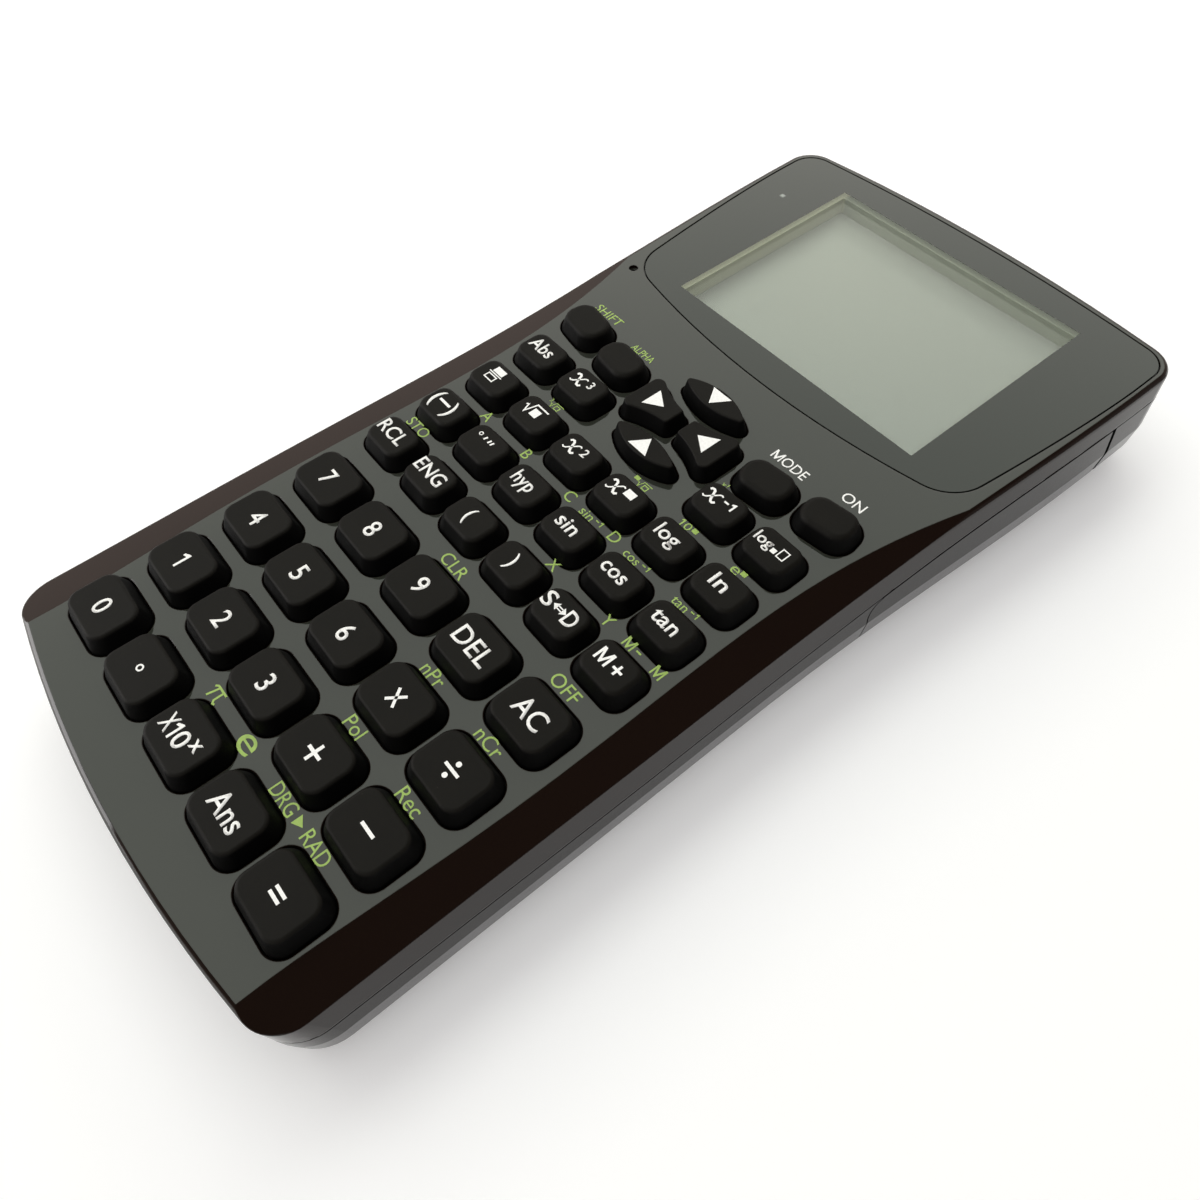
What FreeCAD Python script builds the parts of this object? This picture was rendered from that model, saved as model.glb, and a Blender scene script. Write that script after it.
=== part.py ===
import FreeCAD, Part
import math
import os

# Graphing calculator lying on its back. +X is to the right, +Y towards the screen end, +Z out of the face.
# The origin is the middle of the plan, on the surface the feet stand on. Millimetres.

Vec = FreeCAD.Vector
UP = Vec(0, 0, 1)

# ---- Overall body -------------------------------------------------------------------------------------
BODY_LENGTH = 186.0
FACE_Z = 22.0
BACK_Z = 0.8
WALL = 1.8
FACE_WALL = 2.0
FACE_EDGE_R = 0.9
FACE_EDGE_STEPS = 3

# Half widths at the keypad (waist) and at the screen, and the stretch over which one becomes the other.
FACE_WAIST = 42.1
FACE_SCREEN = 45.3
FACE_BLEND = (-0.9, 86.0)
SIDE_WAIST = 43.1
SIDE_SCREEN = 46.3
SIDE_BLEND = (-6.0, 76.0)
WIDEST_Z = 11.9

# End arcs: radius of the bowed end, and radius of the corners between end and sides.
LOWER_END_R = 228.0
UPPER_END_R = 340.0
FACE_CORNER_R = 6.0
BACK_CORNER_R = 8.5

# Height, and how far the outline has drawn in, down the rounded back edge.
BACK_ROUNDING = ((7.0, 0.5), (4.2, 2.1), (2.2, 4.5), (BACK_Z, 8.0))

# Sloping band along both sides of the keypad: inner crease, and drop at the outer edge.
BAND_CREASE = 36.3
BAND_DROP = 1.1
BAND_START_Y = -5.0
BAND_END_Y = 45.0
BAND_STEPS = (-100.0, -60.0, -20.0, 0.0, 20.0, BAND_END_Y)
BAND_REACH = 8.0

# Joint line between the front housing and the rear cover: (y, z) along the side.
PARTING = (
    (-110, 15.0), (-40, 15.0), (-10, 15.1), (10, 15.7), (28, 16.8), (44, 17.5), (70, 17.6), (110, 17.6))
PARTING_GAP = 0.3
LIP_THICK = 0.95
LIP_RISE = 0.9
LIP_CLEAR = 0.15
RIM_DEEP = 2.0

# ---- Screen -------------------------------------------------------------------------------------------
LENS_THICK = 1.2
LENS_POCKET = 1.4
LENS_GROOVE = 0.32
LENS_LOW_Y = 31.3
LENS_HIGH_Y = 90.9
LENS_HALF_LOW = 39.0
LENS_HALF_HIGH = 43.55
LENS_BLEND = (31.0, 80.0)
LENS_BOW = 1.5
LENS_LOW_R = 175.0
LENS_HIGH_R = 400.0
LENS_LOW_CORNER = 8.0
LENS_HIGH_CORNER = 4.8
LEDGE_THICK = 1.4
VIEW_W = 57.7
VIEW_H = 45.7
VIEW_Y = 60.85
LCD_TOP_Z = 17.3
LCD_GLASS_W = 65.0
LCD_GLASS_H = 51.0
LCD_PANE = 0.8
LCD_FRAME_W = 69.0
LCD_FRAME_H = 54.0
LCD_BOARD_THICK = 1.0
LCD_FRAME_LIP = 0.9
LAYER_GAP = 0.02
RIBBON_HALF_W = 9.0
RIBBON_THICK = 0.15
RIBBON_REACH = 4.0
RESET_PLACE = (-39.1, 34.6)
RESET_DISH_R = 0.9
RESET_DISH_DEEP = 0.7
RESET_BORE_R = 0.45
SPACER_WALL = 1.5
SPACER_GAP = 0.15

# ---- Keys ---------------------------------------------------------------------------------------------
# A key size is width, height, corner radius, how far the top draws in, radius of its edge, end flange.
KEY_TOP_Z = 24.9
KEY_GAP = 0.25
HOLE_LIP = 0.2
HOLE_LOW_Z = 17.0
FLANGE_TOP_Z = 19.8
FLANGE_THICK = 0.8
FLANGE_SIDE = 0.3
NUMBER_SIZE = (12.6, 9.95, 2.7, 0.9, 0.65, 0.6)
NUMBER_PITCH = (14.0, 13.03)
NUMBER_FIRST_Y = -78.9
FUNCTION_SIZE = (10.6, 8.2, 2.5, 1.0, 0.9, 0.6)
FUNCTION_PITCH = (11.68, 10.6)
FUNCTION_FIRST_Y = -26.7
OVAL_SIZE = (10.9, 7.9, 3.2, 0.9, 1.1, 0.3)
OVAL_OUTER = (30.4, 16.35, 8.0)
OVAL_INNER = (18.5, 14.5, 6.0)

# Direction pad: two almond keys above and below, two keys beside the middle hollowed to follow them.
# Distances from the pad's middle: inner side, line through the tips and outer side of an almond key.
PAD_Y = 12.3
ALMOND_Y = (5.05, 7.75, 11.05)
ALMOND_HALF_W = 8.6
ALMOND_TIP_R = 1.35
PAD_SIDE_X = (0.6, 11.3)
PAD_SIDE_INNER_R = 1.35
PAD_SIDE_OUTER_R = 2.1
PAD_GAP = 2.3
PAD_SHOULDER = 0.8
PAD_ROUND = 0.4
PAD_SIDE_FLANGE = 0.21

NUMBER_ROWS = (
    ("key_digit_0", "key_point", "key_exponent", "key_answer", "key_equals"),
    ("key_digit_1", "key_digit_2", "key_digit_3", "key_plus", "key_minus"),
    ("key_digit_4", "key_digit_5", "key_digit_6", "key_times", "key_divide"),
    ("key_digit_7", "key_digit_8", "key_digit_9", "key_delete", "key_all_clear"),
)
FUNCTION_ROWS = (
    ("key_recall", "key_engineering", "key_open_bracket", "key_close_bracket", "key_decimal_switch",
     "key_memory_plus"),
    ("key_negative", "key_degrees", "key_hyperbolic", "key_sine", "key_cosine", "key_tangent"),
    ("key_fraction", "key_square_root", "key_square", "key_power", "key_log", "key_natural_log"),
    ("key_absolute", "key_cube", None, None, "key_reciprocal", "key_log_base"),
)

# ---- Inside -------------------------------------------------------------------------------------------
MAT_TOP_Z = 17.55
MAT_THICK = 1.0
MAT_BOSS_Z = 18.1
MAT_BOSS_R = 2.6
MAT_HALF_W = 34.6
MAT_Y = (-86.0, 23.5)
BOARD_TOP_Z = 16.5
BOARD_THICK = 1.6
BOARD_HALF_W = 34.7
BOARD_Y = (-87.0, 24.5)

# Parts on the underside of the board: left, low, width, height, depth.
BOARD_PARTS = (
    (-7.0, -34.0, 14.0, 14.0, 1.4),
    (10.0, -12.0, 8.0, 5.2, 1.1),
    (-26.0, -20.0, 7.5, 3.0, 2.2),
    (14.0, -52.0, 6.0, 6.0, 1.8),
    (-20.0, -56.0, 3.2, 1.6, 1.0),
    (-14.0, -56.0, 3.2, 1.6, 1.0),
    (-10.0, 10.5, 20.0, 4.0, 2.0),
)
POST_R = 2.2
POST_FOOT_Z = 10.0
PILOT_R = 1.1
SCREW_R = 1.05
SCREW_CLEAR_R = 1.45
SCREW_HEAD_R = 2.2
SCREW_HEAD_H = 1.5
SCREW_SEAT_Z = 4.6
SCREW_WELL_R = 2.6
SCREW_TIP_Z = 16.0
SCREW_TIP_R = 0.3
SCREW_TIP_H = 1.0
SCREW_HEAD_ROUND = 0.5
SCREW_RECESS = (2.4, 0.55, 0.8)
SCREW_BOSS_WALL = 0.9
SCREW_BOSS_FLOOR = 1.2
PILOT_EXTRA = 0.6
SCREW_PLACES = ((37.2, -82.2), (37.2, -21.4), (39.6, 80.5))
STANDOFF_R = 1.6
STANDOFF_PLACES = ((24.0, -70.0), (24.0, -33.0), (24.0, 4.0))
FOOT_R = 4.0
FOOT_PLACES = ((26.0, -76.0), (27.0, 80.0))

# ---- Batteries ----------------------------------------------------------------------------------------
COVER_Y = (14.0, 73.7)
COVER_WALL = 1.6
COVER_SIDE_GAP = 0.3
COVER_LOW_GAP = 0.25
COVER_HIGH_GAP = 0.9
COVER_CORNER = 3.0
COVER_CORNER_Z = 15.9
COVER_STEP = 0.15
COVER_STRAIGHT_Z = WIDEST_Z - 1.0
COVER_RIB_Y = 1.2
CELL_R = 5.25
CELL_LENGTH = 43.5
CELL_ROUND = 0.5
NUB_R = 1.9
NUB_LENGTH = 1.0
CELL_PITCH = 11.2
CELL_COUNT = 4
CELL_FLOOR_Z = 2.65
CELL_LOW_Y = 21.6
BAY_HALF_W = 22.6
BAY_Y = (18.4, 69.6)
BAY_TOP_Z = 13.35
BAY_WALL = 1.1
PLATE_THICK = 0.35
PLATE_Z = (3.4, 12.4)
PLATE_HALF_W = 4.3
SPRING_R = 2.5
SPRING_WIRE = 0.3
SPRING_TURNS = 3

HALF_LENGTH = BODY_LENGTH / 2
SIDE_STEPS = 6
SLOPE_STEP = 0.01
CORNER_ROUNDS = 30

# Spans comfortably larger than the body, for cutting right through it.
ACROSS = (-60.0, 60.0)
ALONG = (-100.0, 100.0)
TALL = (-5.0, 40.0)
SMALLEST_CORNER = 0.8
TOUCHING = 1e-4

# Play between parts that lie against each other, and how far fused bodies run into each other.
LOOSE = 0.05
MERGE = 0.3


def save(name, shape):
    """Write one node."""
    if len(shape.Solids) == 1:
        shape = shape.Solids[0]
    shape.exportStep("parts/%s.step" % name)


def fuse(shapes):
    """One solid out of several that overlap."""
    return shapes[0].multiFuse(shapes[1:]).removeSplitter()


def ease(t):
    """Smooth step from 0 to 1."""
    t = min(max(t, 0.0), 1.0)
    return t * t * (3 - 2 * t)


def box(x, y, z):
    """Box from three (low, high) pairs."""
    return Part.makeBox(x[1] - x[0], y[1] - y[0], z[1] - z[0], Vec(x[0], y[0], z[0]))


def centred_plate(width, height, y, z):
    """Flat plate centred on x = 0."""
    return box((-width / 2, width / 2), (y - height / 2, y + height / 2), z)


def rod(radius, x, y, z):
    """Upright cylinder between two heights."""
    return Part.makeCylinder(radius, z[1] - z[0], Vec(x, y, z[0]))


def both_sides(places):
    """Places given for the right side, and the same on the left."""
    return [(sign * x, y) for x, y in places for sign in (-1, 1)]


# ---- Outlines -----------------------------------------------------------------------------------------
def widening(y, low, high, blend):
    """Half width at y, easing from low to high over the stretch given by blend."""
    return low + (high - low) * ease((y - blend[0]) / (blend[1] - blend[0]))


def face_half(y):
    """Half width of the face."""
    return widening(y, FACE_WAIST, FACE_SCREEN, FACE_BLEND)


def side_half(y):
    """Half width where the body is widest."""
    return widening(y, SIDE_WAIST, SIDE_SCREEN, SIDE_BLEND)


def lens_half(y):
    """Half width of the window, bowed outwards towards the screen end."""
    left = min(max((LENS_BLEND[1] - y) / (LENS_BLEND[1] - LENS_BLEND[0]), 0.0), 1.0)
    return LENS_HALF_HIGH - (LENS_HALF_HIGH - LENS_HALF_LOW) * left ** LENS_BOW


def outline(half_at, low_end, high_end, inset, z):
    """Closed plan outline: bowed ends, rounded corners, and sides at half_at(y) drawn in by inset."""
    def half(y):
        return half_at(y) - inset

    def point(centre, radius, angle):
        return Vec(centre[0] + radius * math.cos(angle), centre[1] + radius * math.sin(angle), z)

    def lean(y):
        """Angle by which the side leans outwards going up the body."""
        return math.atan((half(y + SLOPE_STEP) - half(y - SLOPE_STEP)) / (2 * SLOPE_STEP))

    def end(spec, sign):
        """End arc and corner arc on the right: centre, radius and the angles the corner runs between."""
        end_y, end_r, corner_r = spec
        end_y -= sign * inset
        corner_r = max(corner_r - inset, SMALLEST_CORNER)
        arc_y = end_y - sign * end_r
        side_y = end_y
        for _ in range(CORNER_ROUNDS):
            angle = lean(side_y)
            x = half(side_y) - corner_r * math.cos(angle)
            y = arc_y + sign * math.sqrt((end_r - corner_r) ** 2 - x ** 2)
            side_y = y - corner_r * math.sin(angle)
        return (0, arc_y), end_r, (x, y), corner_r, (math.atan2(y - arc_y, x), -angle)

    def mirrored(points):
        return [Vec(-p.x, p.y, p.z) for p in reversed(points)]

    low_arc, low_r, low_corner, low_corner_r, low_meet = end(low_end, -1)
    high_arc, high_r, high_corner, high_corner_r, high_meet = end(high_end, 1)
    low_bend = [point(low_corner, low_corner_r, angle) for angle in halved(*low_meet)]
    high_bend = [point(high_corner, high_corner_r, angle) for angle in halved(*high_meet)][::-1]
    low_y = low_bend[2].y
    rise = high_bend[0].y - low_y
    side = [low_bend[2]]
    for i in range(1, SIDE_STEPS):
        y = low_y + rise * i / SIDE_STEPS
        side.append(Vec(half(y), y, z))
    side.append(high_bend[0])
    ways = [Vec(-math.sin(angle), math.cos(angle), 0) for angle in (low_meet[1], high_meet[1])]
    right_side = smooth_edge(side, ways[0], ways[1])
    left_side = smooth_edge(mirrored(side), Vec(ways[1].x, -ways[1].y, 0), Vec(ways[0].x, -ways[0].y, 0))
    low_mid = point(low_arc, low_r, -math.pi / 2)
    high_mid = point(high_arc, high_r, math.pi / 2)
    edges = [Part.Arc(Vec(-low_bend[0].x, low_bend[0].y, z), low_mid, low_bend[0]).toShape()]
    edges += [Part.Arc(*low_bend).toShape(), right_side, Part.Arc(*high_bend).toShape()]
    edges.append(Part.Arc(high_bend[2], high_mid, Vec(-high_bend[2].x, high_bend[2].y, z)).toShape())
    edges += [Part.Arc(*mirrored(high_bend)).toShape(), left_side]
    edges.append(Part.Arc(*mirrored(low_bend)).toShape())
    return Part.Wire(edges)


def halved(first, last):
    """Two angles with the one half way between them."""
    return (first, (first + last) / 2, last)


def smooth_edge(points, first_way, last_way):
    """Smooth curve through points with given directions at its ends."""
    curve = Part.BSplineCurve()
    curve.interpolate(Points=points, InitialTangent=first_way, FinalTangent=last_way)
    return curve.toShape()


def face_outline(inset, z):
    """Outline of the edge of the face."""
    ends = ((-HALF_LENGTH, LOWER_END_R, FACE_CORNER_R), (HALF_LENGTH, UPPER_END_R, FACE_CORNER_R))
    return outline(face_half, ends[0], ends[1], inset, z)


def side_outline(inset, z):
    """Outline where the body is widest."""
    ends = ((-HALF_LENGTH, LOWER_END_R, BACK_CORNER_R), (HALF_LENGTH, UPPER_END_R, BACK_CORNER_R))
    return outline(side_half, ends[0], ends[1], inset, z)


def lens_outline(inset, z):
    """Outline of the clear window over the display."""
    ends = ((LENS_LOW_Y, LENS_LOW_R, LENS_LOW_CORNER), (LENS_HIGH_Y, LENS_HIGH_R, LENS_HIGH_CORNER))
    return outline(lens_half, ends[0], ends[1], inset, z)


def envelope(inset):
    """The whole body's outer form drawn in by inset: flat face, rounded face edge, rounded back."""
    deepest = BACK_ROUNDING[-1][1]
    wires = []
    for step in range(FACE_EDGE_STEPS + 1):
        turn = math.pi / 2 * step / FACE_EDGE_STEPS
        drawn_in = inset + FACE_EDGE_R * (1 - math.sin(turn))
        wires.append(face_outline(drawn_in, FACE_Z - FACE_EDGE_R * (1 - math.cos(turn))))
    wires.append(side_outline(inset, WIDEST_Z))
    for z, drawn_in in BACK_ROUNDING:
        wires.append(side_outline(inset + drawn_in, z + inset * drawn_in / deepest))
    return Part.makeLoft(wires, True, True)


def prism(wire, rise):
    """Upright prism on a closed outline."""
    return Part.Face(wire).extrude(UP * rise)


def side_slab(shift, upper):
    """Everything above (or below) the joint line moved up by shift."""
    x = ACROSS[0]
    curve = Part.BSplineCurve()
    curve.interpolate([Vec(x, y, z + shift) for y, z in PARTING])
    edge = curve.toShape()
    far_z = TALL[1] if upper else TALL[0]
    first = edge.valueAt(edge.FirstParameter)
    last = edge.valueAt(edge.LastParameter)
    rest = Part.makePolygon([last, Vec(x, last.y, far_z), Vec(x, first.y, far_z), first])
    return Part.Face(Part.Wire([edge] + rest.Edges)).extrude(Vec(ACROSS[1] - x, 0, 0))


def band_cutter(sign):
    """Wedge that slopes the face down towards the side of the keypad."""
    wires = []
    slope = BAND_DROP / (FACE_WAIST - BAND_CREASE)
    for y in BAND_STEPS:
        along = max(0.0, (y - BAND_START_Y) / (BAND_END_Y - BAND_START_Y))
        crease = BAND_CREASE + (FACE_SCREEN - BAND_CREASE) * along ** 2
        reach = face_half(y) + BAND_REACH
        corners = [
            Vec(sign * crease, y, FACE_Z),
            Vec(sign * reach, y, FACE_Z - slope * (reach - crease)),
            Vec(sign * reach, y, FACE_Z + BAND_REACH),
        ]
        wires.append(Part.makePolygon(corners + corners[:1]))
    return Part.makeLoft(wires, True, False)


# ---- Keys ---------------------------------------------------------------------------------------------
def rounded_wire(width, height, radius, z):
    """Rectangle with rounded corners, centred."""
    hw = width / 2
    hh = height / 2
    k = radius * (1 - math.sqrt(0.5))
    edges = []
    start = Vec(hw, hh - radius, z)
    for mid, end, after in (
        (Vec(hw - k, hh - k, z), Vec(hw - radius, hh, z), Vec(radius - hw, hh, z)),
        (Vec(k - hw, hh - k, z), Vec(-hw, hh - radius, z), Vec(-hw, radius - hh, z)),
        (Vec(k - hw, k - hh, z), Vec(radius - hw, -hh, z), Vec(hw - radius, -hh, z)),
        (Vec(hw - k, k - hh, z), Vec(hw, radius - hh, z), Vec(hw, hh - radius, z)),
    ):
        edges.append(Part.Arc(start, mid, end).toShape())
        edges.append(Part.makeLine(end, after))
        start = after
    return Part.Wire(edges)


def top_face(solid):
    """The uppermost face."""
    return max(solid.Faces, key=lambda f: f.CenterOfMass.z)


def top_rounded(solid, radius):
    """Round the edges of the uppermost face."""
    return solid.makeFillet(radius, top_face(solid).Edges)


def lipped(shaft):
    """Tool for a key's hole: a shaft ending level with the face, flared there by the hole's lip."""
    bound = shaft.BoundBox
    margin = 3 * HOLE_LIP
    plate = box(
        (bound.XMin - margin, bound.XMax + margin), (bound.YMin - margin, bound.YMax + margin),
        (FACE_Z, FACE_Z + 1))
    rim = top_face(shaft).OuterWire
    tool = shaft.fuse(plate)
    lip = []
    for edge in tool.Edges:
        middle = Part.Vertex(edge.valueAt((edge.FirstParameter + edge.LastParameter) / 2))
        if rim.distToShape(middle)[0] < TOUCHING:
            lip.append(edge)
    return tool.makeFillet(HOLE_LIP, lip)


def rounded_key(size, place, turn):
    """Key cap with its flange, and the tool that cuts its hole in the face."""
    width, height, corner, shoulder, edge_radius, flange_end = size

    def wire_at(grow, z):
        return rounded_wire(width + 2 * grow, height + 2 * grow, corner + grow, z)

    top = rounded_wire(width - 2 * shoulder, height - 2 * shoulder, corner - shoulder * 0.5, KEY_TOP_Z)
    cap = top_rounded(Part.makeLoft([wire_at(0.0, FACE_Z), top], True, True), edge_radius)
    shank = prism(wire_at(0.0, FLANGE_TOP_Z), FACE_Z - FLANGE_TOP_Z)
    flange_wire = rounded_wire(
        width + 2 * FLANGE_SIDE, height + 2 * flange_end, corner + FLANGE_SIDE, FLANGE_TOP_Z - FLANGE_THICK)
    key = fuse([cap, shank, prism(flange_wire, FLANGE_THICK)])
    hole = lipped(prism(wire_at(KEY_GAP, HOLE_LOW_Z), FACE_Z - HOLE_LOW_Z))
    for shape in (key, hole):
        shape.rotate(Vec(0, 0, 0), UP, turn)
        shape.translate(Vec(place[0], place[1], 0))
    return key, hole


def on_circle(centre, radius, toward, z):
    """Point of a circle on the line from its centre through another point."""
    way = Vec(toward[0] - centre[0], toward[1] - centre[1], 0).normalize()
    return Vec(centre[0] + radius * way.x, centre[1] + radius * way.y, z)


def almond_arcs():
    """Height of the centre, and radius, of an almond key's inner and outer side, in the upper key."""
    inner_y, tips_y, outer_y = ALMOND_Y
    arcs = []
    for sagitta, way, y in ((tips_y - inner_y, 1, inner_y), (outer_y - tips_y, -1, outer_y)):
        radius = (ALMOND_HALF_W ** 2 + sagitta ** 2) / (2 * sagitta)
        arcs.append((y + way * radius, radius))
    return arcs


def almond_wire(sign, grow, z):
    """Almond outline above or below the middle of the pad: two arcs with rounded tips."""
    (inner_c, inner_r), (outer_c, outer_r) = almond_arcs()
    tip_y = ((outer_r - ALMOND_TIP_R) ** 2 - (inner_r - ALMOND_TIP_R) ** 2 + inner_c ** 2 - outer_c ** 2)
    tip_y /= 2 * (inner_c - outer_c)
    tip = (math.sqrt((outer_r - ALMOND_TIP_R) ** 2 - (tip_y - outer_c) ** 2), tip_y)
    tip_r = ALMOND_TIP_R + grow
    inner_end = on_circle((0, inner_c), inner_r + grow, tip, z)
    outer_end = on_circle((0, outer_c), outer_r + grow, tip, z)
    tip_end = Vec(tip[0] + tip_r, tip[1], z)
    inner_mid = Vec(0, inner_c - inner_r - grow, z)
    outer_mid = Vec(0, outer_c + outer_r + grow, z)

    def placed(points):
        return [Vec(p.x, PAD_Y + sign * p.y, p.z) for p in points]

    def mirrored(points):
        return [Vec(-p.x, p.y, p.z) for p in points]

    left = mirrored([inner_end, tip_end, outer_end])
    runs = [[left[0], inner_mid, inner_end], [inner_end, tip_end, outer_end]]
    runs += [[outer_end, outer_mid, left[2]], left[::-1]]
    return Part.Wire([Part.Arc(*placed(run)).toShape() for run in runs])


def pad_side_wire(sign, grow, z):
    """Outline beside the middle of the pad, hollowed to follow the two almond keys."""
    centre_y, almond_r = almond_arcs()[0]
    low_x, high_x = PAD_SIDE_X
    hollow_r = almond_r + PAD_GAP
    corners = []
    for x, way, radius in ((low_x, 1, PAD_SIDE_INNER_R), (high_x, -1, PAD_SIDE_OUTER_R)):
        x += way * radius
        y = centre_y - math.sqrt((hollow_r + radius) ** 2 - x ** 2)
        corners.append(((x, y), way, radius + grow))

    def placed(point, up):
        return Vec(sign * point.x, PAD_Y + up * point.y, point.z)

    hollow_mid = (high_x / 2, centre_y - math.sqrt(hollow_r ** 2 - high_x ** 2 / 4))
    edges = []
    for up in (1, -1):
        ends = []
        for (x, y), way, radius in corners:
            flank = Vec(x - way * radius, y, z)
            bend = Vec(x - way * radius * math.sqrt(0.5), y + radius * math.sqrt(0.5), z)
            ends.append(on_circle((x, y), radius, (0, centre_y), z))
            edges.append(Part.Arc(placed(flank, up), placed(bend, up), placed(ends[-1], up)).toShape())
        middle = on_circle((0, centre_y), hollow_r - grow, hollow_mid, z)
        edges.append(Part.Arc(*[placed(p, up) for p in (ends[0], middle, ends[1])]).toShape())
    for (x, y), way, radius in corners:
        flank = Vec(x - way * radius, y, z)
        edges.append(Part.makeLine(placed(flank, 1), placed(flank, -1)))
    return Part.Wire(Part.__sortEdges__(edges))


def pad_key(wire_at, sign, flange_side):
    """Tapered key of the direction pad with its flange, and the tool that cuts its hole in the face."""
    cap = Part.makeLoft([wire_at(sign, 0.0, FACE_Z), wire_at(sign, -PAD_SHOULDER, KEY_TOP_Z)], True, True)
    cap = top_rounded(cap, PAD_ROUND)
    shank = prism(wire_at(sign, 0.0, FLANGE_TOP_Z), FACE_Z - FLANGE_TOP_Z)
    flange = prism(wire_at(sign, flange_side, FLANGE_TOP_Z - FLANGE_THICK), FLANGE_THICK)
    hole = lipped(prism(wire_at(sign, KEY_GAP, HOLE_LOW_Z), FACE_Z - HOLE_LOW_Z))
    return fuse([cap, shank, flange]), hole


def all_keys():
    """Every key: name, solid, hole tool and middle."""
    made = []
    for row, names in enumerate(NUMBER_ROWS):
        for column, name in enumerate(names):
            place = ((column - 2) * NUMBER_PITCH[0], NUMBER_FIRST_Y + row * NUMBER_PITCH[1])
            made.append((name, rounded_key(NUMBER_SIZE, place, 0), place))
    for row, names in enumerate(FUNCTION_ROWS):
        for column, name in enumerate(names):
            if name:
                place = ((column - 2.5) * FUNCTION_PITCH[0], FUNCTION_FIRST_Y + row * FUNCTION_PITCH[1])
                made.append((name, rounded_key(FUNCTION_SIZE, place, 0), place))
    for name, side, (x, y, turn) in (
        ("key_shift", -1, OVAL_OUTER),
        ("key_alpha", -1, OVAL_INNER),
        ("key_mode", 1, OVAL_INNER),
        ("key_on", 1, OVAL_OUTER),
    ):
        made.append((name, rounded_key(OVAL_SIZE, (side * x, y), side * turn), (side * x, y)))
    for name, sign in (("key_pad_lower", -1), ("key_pad_upper", 1)):
        made.append((name, pad_key(almond_wire, sign, FLANGE_SIDE), (0, PAD_Y + sign * ALMOND_Y[1])))
    for name, sign in (("key_pad_left", -1), ("key_pad_right", 1)):
        middle_x = (PAD_SIDE_X[0] + PAD_SIDE_X[1]) / 2
        made.append((name, pad_key(pad_side_wire, sign, PAD_SIDE_FLANGE), (sign * middle_x, PAD_Y)))
    return made


# ---- Housing ------------------------------------------------------------------------------------------
def front_housing(outer, hole_tools):
    """Upper shell: face, side walls down to the joint line, window pocket, key holes and screw posts."""
    ledge_z = FACE_Z - LENS_POCKET
    inner = envelope(WALL)
    step_y = LENS_LOW_Y - FACE_WALL
    keypad_room = box(ACROSS, (ALONG[0], step_y), (TALL[0], FACE_Z - FACE_WALL))
    screen_room = box(ACROSS, (step_y, ALONG[1]), (TALL[0], ledge_z - LEDGE_THICK))
    shell = outer.cut(inner.common(keypad_room.fuse(screen_room)))
    for sign in (-1, 1):
        shell = shell.cut(band_cutter(sign))
    shell = shell.common(side_slab(PARTING_GAP / 2, True))
    pocket = prism(lens_outline(-LENS_GROOVE, ledge_z), LENS_POCKET + 1)
    room = 2 * (SPACER_WALL + SPACER_GAP)
    opening = centred_plate(VIEW_W + room, VIEW_H + room, VIEW_Y, (WIDEST_Z, FACE_Z))
    shell = shell.cut(pocket).cut(opening)
    below_face = box((-SIDE_SCREEN, SIDE_SCREEN), (-HALF_LENGTH, HALF_LENGTH), (0, FACE_Z))
    shell = shell.cut([tool.common(below_face) for tool in hole_tools])
    reset_x, reset_y = RESET_PLACE
    shell = shell.cut(rod(RESET_DISH_R, reset_x, reset_y, (FACE_Z - RESET_DISH_DEEP, FACE_Z + 1)))
    shell = shell.cut(rod(RESET_BORE_R, reset_x, reset_y, (FACE_Z - 2 * FACE_WALL, FACE_Z + 1)))
    posts = []
    for x, y in both_sides(SCREW_PLACES):
        posts.append(rod(POST_R, x, y, (POST_FOOT_Z, FACE_Z - FACE_WALL + MERGE)))
    shell = fuse([shell] + posts)
    for x, y in both_sides(SCREW_PLACES):
        shell = shell.cut(rod(PILOT_R, x, y, (POST_FOOT_Z - 1, SCREW_TIP_Z + PILOT_EXTRA)))
    return shell


def cover_zone(margin_low, margin_high, shift):
    """Side view of the battery cover carried right across the body, with its rounded lower corner."""
    low = COVER_Y[0] + margin_low
    corner_z = COVER_CORNER_Z + shift - COVER_CORNER
    slab = box(ACROSS, (low, COVER_Y[1] - margin_high), TALL).common(side_slab(shift, False))
    nick = box(ACROSS, (low - 1, low + COVER_CORNER), (corner_z, TALL[1]))
    axis = Vec(ACROSS[0], low + COVER_CORNER, corner_z)
    drum = Part.makeCylinder(COVER_CORNER, ACROSS[1] - ACROSS[0], axis, Vec(1, 0, 0))
    return slab.cut(nick.cut(drum))


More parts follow.
